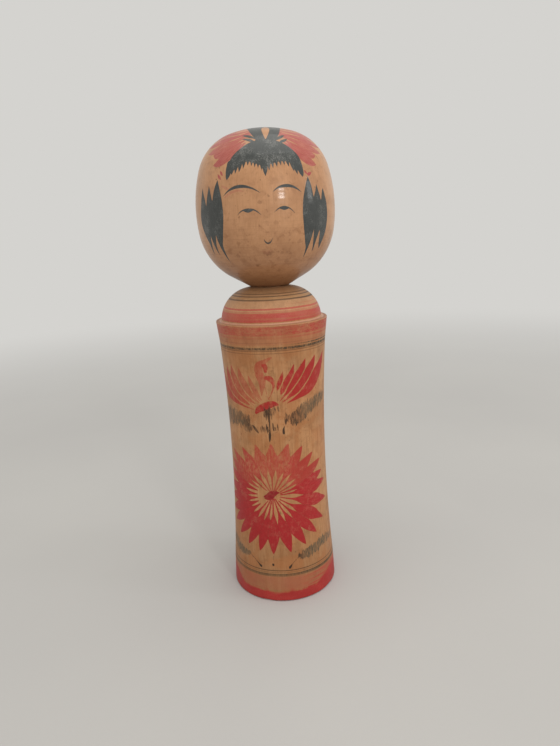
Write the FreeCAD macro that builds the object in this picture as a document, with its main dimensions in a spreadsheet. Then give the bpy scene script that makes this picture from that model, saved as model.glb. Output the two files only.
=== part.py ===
"""Kokeshi doll: two turned pieces of wood.

body  a waisted cylinder with a flared rim and a domed shoulder, and a blind socket with an
      undercut in the top of the dome
head  a rounded head whose neck runs down into a plug with a swollen end, held captive in the socket

Millimetres, +Z up, the origin in the middle of the standing face, the face of the doll to -Y.
"""
import FreeCAD
import Part
import Sketcher

import math
import os

DIMS = {
    # standing face and foot
    "dish_radius": 25.0,
    "dish_depth": 0.8,
    "base_radius": 35.7,
    "base_round": 0.9,
    "foot_height": 18.0,
    "foot_radius": 34.95,
    # waisted column
    "waist_curve": 1060.0,
    "collar_height": 171.0,
    "collar_radius": 34.4,
    # flared rim and its ledge
    "rim_height": 185.8,
    "rim_radius": 36.1,
    "rim_round": 0.45,
    "ledge_radius": 32.4,
    # domed shoulder: a tight flank, then a flatter crown up to the land round the socket
    "flank_curve": 20.95,
    "flank_sweep": 75.1,
    "flank_centre": 185.07,
    "slope_curve": 52.5,
    "land_radius": 13.2,
    "land_height": 206.2,
    # socket
    "bore_radius": 11.05,
    "mouth_break": 0.3,
    "bore_bottom": 194.0,
    "undercut_radius": 12.8,
    "undercut_top": 192.4,
    "socket_floor": 182.6,
    # head: four arcs from the crown down to the cheeks, then the underside in to the neck
    "head_top": 300.0,
    "crown_curve": 65.5,
    "crown_sweep": 18.2,
    "temple_curve": 29.5,
    "temple_sweep": 54.7,
    "side_curve": 83.0,
    "side_sweep": 26.2,
    "cheek_curve": 38.3,
    "cheek_sweep": 47.5,
    "seat_radius": 12.4,
    "seat_height": 206.5,
    # plug
    "neck_radius": 11.0,
    "neck_bottom": 193.5,
    "bulb_radius": 12.4,
    "bulb_top": 191.9,
    "bulb_bottom": 187.5,
    "plug_end_radius": 10.6,
    "plug_end": 183.2,
}

doc = FreeCAD.newDocument("kokeshi_doll")
sheet = doc.addObject("Spreadsheet::Sheet", "dims")
for row, (word, value) in enumerate(DIMS.items(), start=1):
    sheet.set(f"A{row}", word)
    sheet.set(f"B{row}", str(value))
    sheet.setAlias(f"B{row}", word)
doc.recompute()


def dim(word):
    return float(sheet.get(word))


def origin_plane(body, role):
    return next(f for f in body.Origin.OriginFeatures if f.Role == role)


def new_sketch(body, name):
    """A sketch on the body's own XZ plane: its x is a radius, its y a height."""
    sketch = body.newObject("Sketcher::SketchObject", name)
    sketch.AttachmentSupport = [(origin_plane(body, "XZ_Plane"), "")]
    sketch.MapMode = "FlatFace"
    return sketch


class Outline:
    """A closed outline of lines and arcs, each size of which is bound to a cell of the sheet."""

    def __init__(self, body, name, radius, height):
        self.sketch = new_sketch(body, name)
        self.at = (self.value(radius), self.value(height))
        self.first = self.at
        self.start_words = (radius, height)
        self.last = None

    @staticmethod
    def value(word):
        return dim(word) if isinstance(word, str) else float(word)

    def bind(self, kind, *args):
        """Add a size constraint whose value is the cell called by the last argument."""
        *where, word = args
        index = self.sketch.addConstraint(Sketcher.Constraint(kind, *where, abs(self.value(word))))
        self.sketch.setExpression(f"Constraints[{index}]", f"dims.{word}")

    def pin(self, geo, point, radius, height):
        """Put one point of the outline at a radius and a height; either may be 0 or None."""
        if radius == 0:
            self.sketch.addConstraint(Sketcher.Constraint("PointOnObject", geo, point, -2))
        elif radius:
            self.bind("DistanceX", -1, 1, geo, point, radius)
        if height == 0:
            self.sketch.addConstraint(Sketcher.Constraint("PointOnObject", geo, point, -1))
        elif height:
            self.bind("DistanceY", -1, 1, geo, point, height)

    def join(self, geo, tangent=False):
        kind = "Tangent" if tangent else "Coincident"
        start, end = self.ends(geo)
        if self.last is not None:
            self.sketch.addConstraint(Sketcher.Constraint(kind, self.last[0], self.last[1], geo, start))
        else:
            self.opening = (geo, start)
            self.pin(geo, start, *self.start_words)
        self.last = (geo, end)

    def ends(self, geo):
        return (2, 1) if self.clockwise(geo) else (1, 2)

    def clockwise(self, geo):
        return geo in getattr(self, "backwards", set())

    def line(self, radius, height):
        """A straight run to a pinned point."""
        x, y = self.value(radius), self.value(height)
        start = FreeCAD.Vector(*self.at, 0)
        geo = self.sketch.addGeometry(Part.LineSegment(start, FreeCAD.Vector(x, y, 0)), False)
        self.join(geo)
        self.pin(geo, 2, radius, height)
        self.at = (x, y)

    def arc(self, centre, curve, turn, sweep, tangent=True):
        """An arc of the radius called curve about centre, sweep degrees from here; turn +1 is
        anticlockwise. Returns its index."""
        cx, cy = centre
        r = self.value(curve)
        a0 = math.atan2(self.at[1] - cy, self.at[0] - cx)
        a1 = a0 + turn * math.radians(sweep)
        circle = Part.Circle(FreeCAD.Vector(cx, cy, 0), FreeCAD.Vector(0, 0, 1), r)
        geo = self.sketch.addGeometry(Part.ArcOfCircle(circle, min(a0, a1), max(a0, a1)), False)
        if turn < 0:
            self.backwards = getattr(self, "backwards", set()) | {geo}
        self.join(geo, tangent)
        self.bind("Radius", geo, curve)
        self.at = (cx + r * math.cos(a1), cy + r * math.sin(a1))
        return geo

    def chain(self, arcs, turn, centre):
        """Arcs that run on from each other without a corner, each of (curve, sweep) cells."""
        made = []
        for number, (curve, sweep) in enumerate(arcs):
            geo = self.arc(centre, curve, turn, self.value(sweep), tangent=number > 0)
            self.bind_sweep(geo, sweep)
            made.append(geo)
            if number + 1 < len(arcs):
                ahead = self.value(arcs[number + 1][0]) / self.value(curve)
                centre = tuple(p + (c - p) * ahead for p, c in zip(self.at, centre))
        return made

    def bind_sweep(self, geo, word):
        index = self.sketch.addConstraint(Sketcher.Constraint("Angle", geo, math.radians(dim(word))))
        self.sketch.setExpression(f"Constraints[{index}]", f"dims.{word}")

    def close(self):
        x, y = self.first
        start = FreeCAD.Vector(*self.at, 0)
        geo = self.sketch.addGeometry(Part.LineSegment(start, FreeCAD.Vector(x, y, 0)), False)
        self.join(geo)
        self.sketch.addConstraint(Sketcher.Constraint("Coincident", geo, 2, *self.opening))
        return self.sketch


def turned(body, kind, name, sketch):
    """Revolve or groove a sketch a full turn about the Z axis."""
    feature = body.newObject(f"PartDesign::{kind}", name)
    feature.Profile = sketch
    feature.ReferenceAxis = (sketch, ["V_Axis"])
    feature.Angle = 360.0
    doc.recompute()
    return feature


def ring_edge(shape, radius, height):
    """The name of the circular edge of that radius at that height."""
    for number, edge in enumerate(shape.Edges, start=1):
        curve = edge.Curve
        if curve.TypeId != "Part::GeomCircle" or abs(curve.Radius - radius) > 1e-3:
            continue
        if abs(curve.Center.z - height) < 1e-3:
            return f"Edge{number}"
    raise ValueError(f"no circular edge of radius {radius} at height {height}")


def dressed(body, kind, name, base, radius, height, size_name, word):
    """Round or break one turned edge."""
    feature = body.newObject(f"PartDesign::{kind}", name)
    feature.Base = (base, [ring_edge(base.Shape, dim(radius), dim(height) if height else 0.0)])
    feature.setExpression(size_name, f"dims.{word}")
    doc.recompute()
    return feature


def make_body():
    body = doc.addObject("PartDesign::Body", "body")
    body.Label = "body"

    column = Outline(body, "column_outline", 0, 0)
    column.line("base_radius", 0)
    column.line("foot_radius", "foot_height")
    # the waist is one long hollow arc from the foot to the collar
    (x0, y0), (x1, y1) = column.at, (dim("collar_radius"), dim("collar_height"))
    half = math.hypot(x1 - x0, y1 - y0) / 2
    reach = math.sqrt(dim("waist_curve") ** 2 - half**2)
    across = ((y1 - y0) / (2 * half), -(x1 - x0) / (2 * half))
    centre = ((x0 + x1) / 2 + reach * across[0], (y0 + y1) / 2 + reach * across[1])
    sweep = 2 * math.degrees(math.asin(half / dim("waist_curve")))
    geo = column.arc(centre, "waist_curve", -1, sweep, tangent=False)
    column.pin(geo, column.ends(geo)[1], "collar_radius", "collar_height")
    column.line("rim_radius", "rim_height")
    column.line("ledge_radius", "rim_height")
    # the shoulder's flank is swung about a point just below the ledge
    x, y = column.at
    rise = y - dim("flank_centre")
    centre = (x - math.sqrt(dim("flank_curve") ** 2 - rise**2), dim("flank_centre"))
    flank = column.arc(centre, "flank_curve", 1, dim("flank_sweep"), tangent=False)
    column.bind_sweep(flank, "flank_sweep")
    column.pin(flank, 3, None, "flank_centre")
    ahead = dim("slope_curve") / dim("flank_curve")
    centre = tuple(p + (c - p) * ahead for p, c in zip(column.at, centre))
    start = math.degrees(math.atan2(column.at[1] - centre[1], column.at[0] - centre[0]))
    end = math.degrees(math.acos((dim("land_radius") - centre[0]) / dim("slope_curve")))
    slope = column.arc(centre, "slope_curve", 1, end - start)
    column.pin(slope, column.ends(slope)[1], "land_radius", None)
    column.line("bore_radius", "land_height")
    column.line(0, "land_height")
    turning = turned(body, "Revolution", "column", column.close())

    socket = Outline(body, "socket_outline", 0, "land_height")
    socket.line("bore_radius", "land_height")
    socket.line("bore_radius", "bore_bottom")
    socket.line("undercut_radius", "undercut_top")
    socket.line("undercut_radius", "socket_floor")
    socket.line(0, "socket_floor")
    bored = turned(body, "Groove", "socket", socket.close())

    dish = Outline(body, "dish_outline", 0, 0)
    dish.line("dish_radius", 0)
    dish.line(0, "dish_depth")
    dished = turned(body, "Groove", "dish", dish.close())

    rim = dressed(body, "Fillet", "rim_edge", dished, "rim_radius", "rim_height", "Radius", "rim_round")
    foot = dressed(body, "Fillet", "foot_edge", rim, "base_radius", None, "Radius", "base_round")
    mouth = dressed(body, "Chamfer", "mouth_edge", foot, "bore_radius", "land_height", "Size", "mouth_break")
    body.Tip = mouth
    return body, (turning, bored, dished)


def make_head():
    body = doc.addObject("PartDesign::Body", "head")
    body.Label = "head"

    ball = Outline(body, "head_outline", 0, "head_top")
    arcs = [(f"{part}_curve", f"{part}_sweep") for part in ("crown", "temple", "side", "cheek")]
    made = ball.chain(arcs, -1, (0.0, dim("head_top") - dim("crown_curve")))
    ball.pin(made[0], 3, 0, None)
    ball.line("seat_radius", "seat_height")
    ball.line(0, "seat_height")
    turned(body, "Revolution", "head_turning", ball.close())

    plug = Outline(body, "plug_outline", 0, "seat_height")
    plug.line("neck_radius", "seat_height")
    plug.line("neck_radius", "neck_bottom")
    plug.line("bulb_radius", "bulb_top")
    plug.line("bulb_radius", "bulb_bottom")
    plug.line("plug_end_radius", "plug_end")
    plug.line(0, "plug_end")
    body.Tip = turned(body, "Revolution", "plug", plug.close())
    return body


def check(parts):
    doc.recompute()
    for item in doc.Objects:
        if {"Invalid", "Error"} & set(item.State):
            raise RuntimeError(f"{item.Name} failed: {item.State}")
    for part in parts:
        shape = part.Shape
        if shape.isNull() or not shape.isValid() or len(shape.Solids) != 1:
            raise RuntimeError(f"{part.Label} is not one valid solid")


body, steps = make_body()
head = make_head()
check([body, head])

volumes = [step.Shape.Volume for step in steps]
if not volumes[0] > volumes[1] > volumes[2]:
    raise RuntimeError("a groove cut nothing")

os.makedirs("parts", exist_ok=True)
for part in (body, head):
    part.Shape.exportStep(f"parts/{part.Label}.step")
    box = part.Shape.optimalBoundingBox()
    print(part.Label, "z", round(box.ZMin, 2), round(box.ZMax, 2), "width", round(box.XLength, 2))
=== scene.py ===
"""Kokeshi doll: two turned pieces of waxed wood, painted with red, ink and leaf-green dye.

The head and the body are lathe grids that follow the CAD outlines. The painting is brushwork: each stroke
is a curve with a width along it, and every vertex keeps its distance to the edge of the nearest stroke, how
wet the stroke was and where on the brush's path the vertex lies. The material turns those into dye.
"""

import math

import bmesh
import bpy
import numpy as np
from mathutils import Matrix, Vector


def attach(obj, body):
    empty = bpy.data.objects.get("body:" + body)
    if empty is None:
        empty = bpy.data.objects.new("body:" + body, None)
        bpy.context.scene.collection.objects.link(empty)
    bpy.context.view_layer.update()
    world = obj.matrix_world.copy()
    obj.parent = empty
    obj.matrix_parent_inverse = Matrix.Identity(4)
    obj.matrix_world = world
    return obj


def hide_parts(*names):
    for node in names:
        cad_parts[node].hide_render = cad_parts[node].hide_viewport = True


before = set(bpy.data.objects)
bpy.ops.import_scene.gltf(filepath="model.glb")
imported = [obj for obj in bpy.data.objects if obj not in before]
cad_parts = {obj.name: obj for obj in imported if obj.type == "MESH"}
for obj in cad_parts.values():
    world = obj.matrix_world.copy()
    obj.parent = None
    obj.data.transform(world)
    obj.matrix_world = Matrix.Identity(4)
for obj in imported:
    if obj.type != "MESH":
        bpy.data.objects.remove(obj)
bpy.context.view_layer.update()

MM = 0.001
RNG = np.random.default_rng(12)
FAR = -4.0          # how far outside every stroke a bare vertex counts as, in mm
BODY_R = 33.0       # one mm of girth on the body is this radius times the angle
HEAD_R = 43.0       # the same on the head
OFF_MAP = 999.0     # where a vertex goes that no stroke may reach
STEP = 0.1          # how far apart an outline's points are, in mm
MARGIN = 4.5        # how far round a stroke its distance is kept, in mm
CREASE = math.radians(38)   # a sharper edge than this isn't smoothed


# ---------------------------------------------------------------- outlines (radius, height) in mm

def arc_chain(start, heading, arcs, turn):
    """Points a step apart along arcs of (radius, sweep in degrees) that run on from each other."""
    out, a = [np.array(start, float)], math.radians(heading)
    for radius, sweep in arcs:
        centre = out[-1] + radius * turn * np.array([-math.sin(a), math.cos(a)])
        n = max(4, int(radius * math.radians(sweep) / STEP))
        b = a + turn * np.linspace(0, math.radians(sweep), n)[1:]
        out += list(centre - radius * turn * np.stack([-np.sin(b), np.cos(b)], 1))
        a = b[-1]
    return out


def run(*points):
    """Straight runs between points."""
    out = [np.array(points[0], float)]
    for p, q in zip(points, points[1:]):
        p, q = np.array(p, float), np.array(q, float)
        n = max(2, int(np.hypot(*(q - p)) / STEP))
        out += [p + (q - p) * t for t in np.linspace(0, 1, n + 1)[1:]]
    return out


def head_outline():
    ball = arc_chain((0, 300), 0, [(65.5, 18.2), (29.5, 54.7), (83.0, 26.2), (38.3, 47.5)], -1)
    under = run(ball[-1], (12.4, 206.5))
    plug = [(12.4, 206.5), (11.0, 206.5), (11.0, 193.5), (12.4, 191.9), (12.4, 187.5), (10.6, 183.2), (0, 183.2)]
    return [ball + under[1:]] + [run(p, q) for p, q in zip(plug, plug[1:])]


def body_outline():
    low, high, hollow = np.array([34.95, 18.0]), np.array([34.4, 171.0]), 1060.0
    half = np.hypot(*(high - low)) / 2
    sweep = 2 * math.degrees(math.asin(half / hollow))
    chord = math.degrees(math.atan2(*(high - low)[::-1]))
    waist = arc_chain(low, chord + sweep / 2, [(hollow, sweep)], -1)
    dome = arc_chain((32.4, 185.8), 92.0, [(20.95, 75.1), (52.5, 9.1)], 1)
    dome = [p for p in dome if p[0] > 13.2]
    rim = arc_chain((36.0, 185.1), 83.5, [(0.55, 96.5)], 1)
    foot = arc_chain((34.8, 0.0), 0.0, [(0.9, 92.4)], 1)
    socket = [(0, 182.6), (12.8, 182.6), (12.8, 192.4), (11.05, 194.0), (11.05, 205.9), (11.35, 206.15)]
    side = foot + run(foot[-1], low)[1:] + waist[1:] + run(high, rim[0])[1:] + rim[1:]
    parts = [run(p, q) for p, q in zip(socket, socket[1:])]
    parts.append(run((11.35, 206.15), dome[-1])[:-1] + dome[::-1])
    parts.append(run((32.4, 185.8), rim[-1]))
    parts.append(side[::-1])
    parts.append(run((34.8, 0.0), (25.0, 0.0)))
    parts.append(run((25.0, 0.0), (0, 0.8)))
    return parts


def spread(length, spacing, density=400):
    """Positions from 0 to length, as far apart as spacing(position) says."""
    x = np.linspace(0, length, max(8, int(length * density / 20)))
    gap = spacing(x)
    count = np.concatenate([[0], np.cumsum(np.diff(x) * (1 / gap[1:] + 1 / gap[:-1]) / 2)])
    n = max(1, int(math.ceil(count[-1])))
    return np.interp(np.linspace(0, count[-1], n + 1), count, x)


def rows_of(parts, spacing):
    """Resamples an outline's smooth parts: rows (radius, height), and the travel along it from its start."""
    rows, travel, base = [], [], 0.0
    for part in parts:
        p = np.array(part)
        along = np.concatenate([[0], np.cumsum(np.hypot(*np.diff(p, axis=0).T))])
        at = spread(along[-1], lambda s: spacing(np.interp(s, along, p[:, 0]), np.interp(s, along, p[:, 1])))
        new = np.stack([np.interp(at, along, p[:, k]) for k in (0, 1)], 1)
        first = 0 if not len(rows) else 1
        rows += list(new[first:])
        travel += list(at[first:] + base)
        base += along[-1]
    return np.array(rows), np.array(travel)


def columns_of(fine, coarse, half_width, radius):
    """Angles round the lathe axis, 0 in front, close together within half_width mm of the front."""
    girth = math.pi * radius

    def spacing(s):
        return fine(s) + (coarse - fine(s)) * np.clip((s - half_width) / 14.0, 0, 1) ** 1.5

    right = spread(girth, spacing) / radius
    return np.concatenate([-right[::-1][:-1], right])[1:]


# ---------------------------------------------------------------- brushwork

class Dye:
    """One colour of dye on a piece: for each vertex the signed distance to a stroke's edge (mm, + inside),
    how strong the dye is there, and where along and across the brush's path it lies."""

    def __init__(self, count):
        self.edge = np.full(count, FAR)
        self.rival = np.full(count, FAR)
        self.tone = np.zeros(count)
        self.flow = np.zeros((count, 3))

    def keep(self, pick, edge, tone, flow):
        better = edge > self.edge[pick]
        at = pick[better]
        self.rival[pick] = np.maximum(self.rival[pick], np.minimum(edge, self.edge[pick]))
        self.edge[at] = edge[better]
        self.tone[at] = tone[better]
        self.flow[at] = flow[better]

    def part(self, gap):
        """Leaves a slit this wide, in mm, between strokes that lie side by side, and starts a new group."""
        self.edge = np.minimum(self.edge, np.maximum((self.edge - self.rival) / 2 - gap / 2, -gap / 2))
        self.rival[:] = FAR


def curve(points, steps=9):
    """A Catmull-Rom curve through rows of numbers."""
    p = np.array(points, float)
    if len(p) == 2:
        return p[0] + (p[1] - p[0]) * np.linspace(0, 1, steps + 1)[:, None]
    p = np.vstack([2 * p[0] - p[1], p, 2 * p[-1] - p[-2]])
    t = np.linspace(0, 1, steps, endpoint=False)[:, None]
    out = []
    for a, b, c, d in zip(p, p[1:], p[2:], p[3:]):
        out.append(0.5 * (2 * b + (c - a) * t + (2 * a - 5 * b + 4 * c - d) * t**2
                          + (3 * b - a - 3 * c + d) * t**3))
    return np.vstack(out + [p[-2][None]])


def stroke(dye, where, points, tone=1.0, dry=0.0):
    """One brush stroke on the flat map `where`: points are (x, y, half width), the tone falls off by dry."""
    line = curve(points)
    line[:, 2] = np.maximum(line[:, 2], 0.02)
    lo, hi = line[:, :2].min(0) - MARGIN, line[:, :2].max(0) + MARGIN
    pick = np.nonzero(((where > lo) & (where < hi)).all(1))[0]
    if not len(pick):
        return
    q = where[pick]
    best = np.full(len(q), -1e9)
    across, along = np.zeros(len(q)), np.zeros(len(q))
    run_on = 0.0
    for a, b in zip(line, line[1:]):
        d = b[:2] - a[:2]
        size = max(np.hypot(*d), 1e-6)
        t = np.clip(((q - a[:2]) @ d) / size**2, 0, 1)
        off = q - a[:2] - t[:, None] * d
        inside = a[2] + (b[2] - a[2]) * t - np.hypot(*off.T)
        new = inside > best
        best = np.where(new, inside, best)
        across = np.where(new, (d[0] * off[:, 1] - d[1] * off[:, 0]) / size, across)
        along = np.where(new, run_on + t * size, along)
        run_on += size
    strength = tone * (1 - dry * along / max(run_on, 1e-6))
    seed = RNG.uniform(0, 50)
    flow = np.stack([across + seed, along * 0.12 + seed, np.full(len(q), seed)], 1)
    dye.keep(pick, np.clip(best, FAR, 9), strength, flow)


def strokes(dye, where, *rows):
    """Brush strokes given as (tone, point, point, ...)."""
    for tone, *points in rows:
        stroke(dye, where, points, tone)


def filled(dye, where, outline, spin=None):
    """A painted area inside a closed outline."""
    line = np.array(outline, float)
    lo, hi = line.min(0) - MARGIN, line.max(0) + MARGIN
    pick = np.nonzero(((where > lo) & (where < hi)).all(1))[0]
    q = where[pick]
    gap = np.full(len(q), 1e9)
    inside = np.zeros(len(q), bool)
    for a, b in zip(line, np.roll(line, -1, axis=0)):
        d = b - a
        t = np.clip(((q - a) @ d) / max(d @ d, 1e-9), 0, 1)
        gap = np.minimum(gap, np.hypot(*(q - a - t[:, None] * d).T))
        if a[1] != b[1]:
            crosses = (a[1] > q[:, 1]) != (b[1] > q[:, 1])
            inside ^= crosses & (q[:, 0] < a[0] + (q[:, 1] - a[1]) / (b[1] - a[1]) * d[0])
    flow = spin(q) if spin else np.stack([q[:, 0], q[:, 1] * 0.12, q[:, 0] * 0], 1)
    dye.keep(pick, np.clip(np.where(inside, gap, -gap), FAR, 9), np.ones(len(q)), flow)


def head_brushwork(theta, height, travel):
    """theta in radians from the front, travel in mm from the crown down the outline."""
    count = len(theta)
    ink, red, stain, bare = Dye(count), Dye(count), Dye(count), Dye(count)
    face = np.stack([theta * HEAD_R, height], 1)
    crown = np.stack([travel * np.sin(theta), travel * np.cos(theta)], 1)
    face[height < 215] = OFF_MAP
    crown[travel > 75] = OFF_MAP

    # hair tuft tied at the crown, with a bare drop down its middle
    tuft = curve([(-4.3, 37.5), (-3.8, 34.8), (-5.4, 31), (-6.8, 26.5), (-7.8, 20), (-8.6, 12),
                  (-8.2, 5), (-6, 0.5), (-2.5, -1.6), (-0.3, 1), (1.4, -2.4), (3.3, 0.8), (6, -2),
                  (8.6, 1), (10.6, 6), (11.1, 13), (11, 20), (10.6, 26.5), (9.8, 31),
                  (8.3, 34.8), (8.8, 37.5)])
    filled(ink, crown, np.vstack([tuft, [(2.7, 40)]]))
    drop = curve([(2.3, 36), (1.3, 32.5), (0.5, 28.6), (0.1, 24), (0.7, 19), (2.4, 16.4),
                  (4.1, 19), (4.7, 24), (4.3, 28.6), (3.4, 32.5), (2.3, 36)])
    filled(bare, crown, drop[:-1])
    ink.edge = np.minimum(ink.edge, -bare.edge)

    # fringe: a rounded cap of hair, its lower edge drawn out into tips
    cap = curve([(-29, 50.2), (-28.8, 48.4), (-25.9, 45), (-22.8, 42.6), (-18.7, 40.4), (-14.3, 39),
                 (-10.2, 37.5), (-4, 36), (2.5, 35.2), (9, 35.8), (14.8, 37.2), (20.2, 38.9),
                 (24.4, 40.7), (27.6, 43.6), (30.2, 47), (30.8, 49.2)])
    hem = curve([(30.2, 49.8), (26, 48.9), (21, 47.6), (15.5, 47.6), (10.5, 49.2), (6, 50.9), (2.2, 52.2),
                 (-1.6, 51.8), (-6, 50.2), (-10.5, 48.2), (-16, 48.2), (-21.5, 48.6), (-26, 49.2)])

    def combed(q):
        a = np.arctan2(q[:, 0] - 2, q[:, 1] + 4)
        return np.stack([a * 55, np.hypot(*q.T) * 0.12, a * 0], 1)

    filled(ink, crown, np.vstack([cap, hem]), combed)
    tips = [(-29.6, 58.6, 2.2), (-25.6, 56.2, 1.5), (-22.5, 55.7, 1.3), (-19.2, 55, 1.4), (-15.8, 53.2, 1.2),
            (-12.2, 51.8, 1.2), (-9.2, 52.2, 1.2), (-6.6, 53, 1.1), (-4, 53.6, 1.1), (-1.4, 54.8, 1.1),
            (1.4, 58, 1.7), (4.6, 55.2, 1.1), (7.6, 54, 1.1), (10.8, 53.4, 1.2), (14, 52.6, 1.2),
            (17, 52.5, 1.2), (20.4, 53.4, 1.3), (24.3, 55.9, 1.4), (27, 57.6, 1.5), (31.2, 58.9, 2)]
    for angle, reach, half in tips:
        tip, root = math.radians(angle), math.radians(angle * 0.93)
        between = (tip + root) / 2
        stroke(ink, crown, [((reach - 8.5) * math.sin(root), (reach - 8.5) * math.cos(root), half * 1.05),
                            ((reach - 4) * math.sin(between), (reach - 4) * math.cos(between), half),
                            (reach * math.sin(tip), reach * math.cos(tip), 0.06)])

    # four small leaf-like strokes beside the tie
    strokes(ink, crown,
        (1, (-11.3, 28.6, 0.1), (-9.6, 29.6, 0.8), (-7, 31.7, 1), (-3.8, 34.6, 0.3)),
        (1, (-11.8, 31.9, 0.1), (-9.6, 33.2, 0.65), (-7.2, 34.9, 1), (-4.4, 37, 0.25)),
        (1, (13.4, 29, 0.1), (12, 30.9, 0.9), (10, 33.4, 1), (7.8, 35.6, 0.3)),
        (1, (15.3, 31.9, 0.1), (13.9, 33.8, 0.85), (12.2, 35.4, 0.9), (10.8, 36.7, 0.2)))

    # side locks: three strokes a side that run together in the middle
    strokes(ink, face,
        (1, (-29.1, 268.8, 0.1), (-29.4, 263.3, 2.2), (-29.4, 257, 3.7), (-29.3, 249, 3.9), (-30.4, 239, 2.9),
         (-31, 232.4, 1.3), (-29.6, 222.4, 0.08)),
        (1, (-36.3, 266.3, 0.1), (-36.1, 262, 1.4), (-36, 257.5, 2.6), (-36, 248, 4.2),
         (-36.1, 239.5, 2.6), (-36.6, 233, 1.1), (-36.4, 227.2, 0.08)),
        (1, (-43.6, 265.6, 0.1), (-43, 261, 1.5), (-42.5, 256, 3), (-43, 247, 4.2), (-41.8, 240, 3),
         (-41.2, 234.2, 1.3), (-42.4, 227.2, 0.08)),
        (1, (27, 268.2, 0.1), (26.7, 262.3, 2.3), (26.1, 255, 3.9), (26, 248, 4.2), (26.4, 240.5, 3.7),
         (26.5, 233.8, 2.3), (26.8, 229.6, 1), (26.4, 223.4, 0.08)),
        (1, (33, 264.2, 0.1), (33, 260, 1.4), (32.8, 255.5, 3), (33, 248, 4), (32.8, 240, 2.7),
         (32.3, 234, 1.4), (32.7, 226.3, 0.08)),
        (1, (38.8, 262.3, 0.1), (38.6, 258.5, 1.5), (38.9, 253, 3), (39.1, 246, 3.6), (38.8, 239, 3.1),
         (38.3, 233, 1.8), (38.8, 228.2, 0.08)))

    # brows, eyes with their pupils, and the nose
    strokes(ink, face,
        (1, (-24.9, 259.4, 0.1), (-21.4, 262.1, 0.42), (-17.9, 263.6, 0.78), (-14.4, 264.1, 0.9),
         (-11, 263.9, 0.75), (-7.2, 262.8, 0.45), (-4.3, 261.3, 0.25), (-2.3, 260, 0.08)),
        (1, (4.4, 260.2, 0.1), (7, 262.1, 0.4), (9.6, 263, 0.68), (12.9, 263.3, 0.85),
         (16.1, 262.8, 0.7), (18.9, 261.5, 0.42), (21.4, 259.8, 0.1)),
        (1, (-16.4, 248.8, 0.1), (-13.9, 250.8, 0.3), (-11.6, 251.6, 0.4), (-9.4, 251.8, 0.42),
         (-6.8, 251.4, 0.38), (-4.7, 250.3, 0.28), (-2.4, 248.3, 0.08)),
        (1, (-12.3, 251.2, 0.3), (-9.8, 250.9, 0.95), (-7.2, 251.1, 0.3)),
        (1, (4.6, 249.4, 0.1), (7, 251.2, 0.28), (9.2, 252.1, 0.38), (11.6, 252.1, 0.38),
         (14.1, 251, 0.28), (16.6, 248.8, 0.08)),
        (1, (8.1, 251.5, 0.3), (10.4, 251.4, 0.9), (12.7, 251.3, 0.3)),
        (1, (-1.8, 235.2, 0.14), (-1, 233.7, 0.34), (0.4, 233, 0.42), (2, 233.6, 0.32),
         (3.5, 236, 0.1)))

    # ribbon: fans of red strokes either side of the tie, the last ones over the back of the crown
    fan = [
        [(-10.2, 36), (-16.5, 38.6), (-24, 39.2), (-30.5, 37.5), (-35.2, 34.6)],
        [(-10.4, 33.9), (-17, 35.4), (-24, 34.6), (-29.5, 31.8), (-32.2, 28.6)],
        [(-7.2, 29.6), (-10.6, 31), (-17.5, 31.6), (-24.5, 29.4), (-31, 25.6), (-35.6, 21.2)],
        [(-7.4, 27), (-10.2, 28), (-16.8, 27), (-23.6, 23.4), (-29.6, 18.4), (-33.6, 13)],
        [(-7.6, 23.6), (-10.2, 24.2), (-15.8, 22), (-21.8, 17), (-27, 10.6), (-30.2, 4)],
        [(-7.8, 19.6), (-10.2, 19.6), (-14.8, 16.4), (-19.6, 10.4), (-23.4, 3), (-25.6, -4.6)],
        [(-9.8, 15), (-13.4, 10.4), (-16.4, 3.4), (-18.6, -4.8), (-19.8, -13)],
        [(-9.2, 9.6), (-11.2, 4), (-12.8, -3.6), (-13.6, -11.6), (-13.8, -19)],
    ]
    lean = [0, -0.6, 0.8, 0.3, -0.5, 0.6, -0.3, 0.4]
    widths, from_tuft = (0.45, 1.9, 2.75, 2.3, 0.1), (1.3, 1.3, 1.9, 2.75, 2.3, 0.1)
    for number, path in enumerate(fan):
        fade = 0.92 - 0.05 * (number % 3)
        half = widths if len(path) == 5 else from_tuft
        stroke(red, crown, [p + (w,) for p, w in zip(path, half)], fade)
        other = [(3.6 - x, y - 0.02 * abs(x) * (1 + lean[number])) for x, y in path]
        stroke(red, crown, [p + (w,) for p, w in zip(other, half)], fade)
    red.part(0.12)

    # small red marks at the temples, worn red by the left brow and at the mouth
    strokes(red, face,
        (1.25, (-29, 271.8, 0.2), (-27.8, 270.2, 0.75), (-26.5, 268.7, 0.15)),
        (1.1, (-27.3, 273.4, 0.2), (-26.3, 272, 0.7), (-25.3, 270.6, 0.15)),
        (1.1, (25.2, 271.4, 0.2), (26, 270.5, 0.6), (26.8, 269.6, 0.2)),
        (1.25, (27.2, 268.9, 0.3), (28.6, 269.7, 0.9), (30.6, 270.6, 0.15)),
        (0.3, (-25.6, 265.2, 0.4), (-22.6, 263.9, 0.7), (-20.4, 262.9, 0.2)),
        (0.32, (-23.6, 258.9, 0.3), (-19.6, 261.2, 0.7), (-14.6, 262, 0.5), (-11.2, 261, 0.1)),
        (0.09, (-3.4, 228.8, 0.3), (-0.6, 228, 1.2), (2.6, 228.9, 0.4)))

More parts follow.
